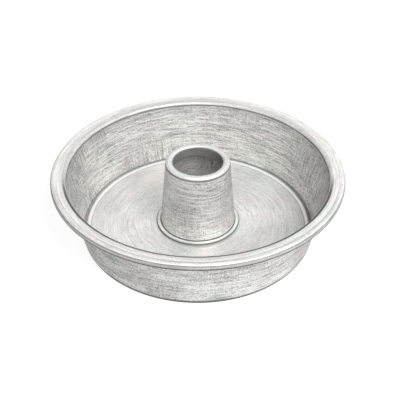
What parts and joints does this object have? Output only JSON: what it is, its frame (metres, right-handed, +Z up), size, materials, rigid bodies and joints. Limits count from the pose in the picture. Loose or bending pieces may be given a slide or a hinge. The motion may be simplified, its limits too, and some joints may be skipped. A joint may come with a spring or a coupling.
{
  "type": "angel food cake pan",
  "caption": "Round flared tube pan with a wide wired rim and a loose base that carries an open tapered tube.",
  "frame": {"origin": "centre of the pan's underside, on the surface it stands on", "axes": "+Z up along the pan's axis of symmetry; the pan is round, so X and Y may point anywhere level"},
  "size_m": [0.2566, 0.2566, 0.0704],
  "materials": {
    "pan_metal": "satin spun aluminium",
    "base_metal": "satin pressed aluminium",
    "tube_metal": "satin spun aluminium",
    "wire_steel": "drawn steel wire"
  },
  "bodies": {
    "ring": {"pan_ring": "pan_metal", "rim_wire": "wire_steel"},
    "base": {"base_plate": "base_metal", "centre_tube": "tube_metal"}
  },
  "joints": [
    {"name": "base_lift", "type": "slide", "parent": "ring", "child": "base", "axis": [0, 0, 1], "range_m": [0, 0.08]}
  ]
}
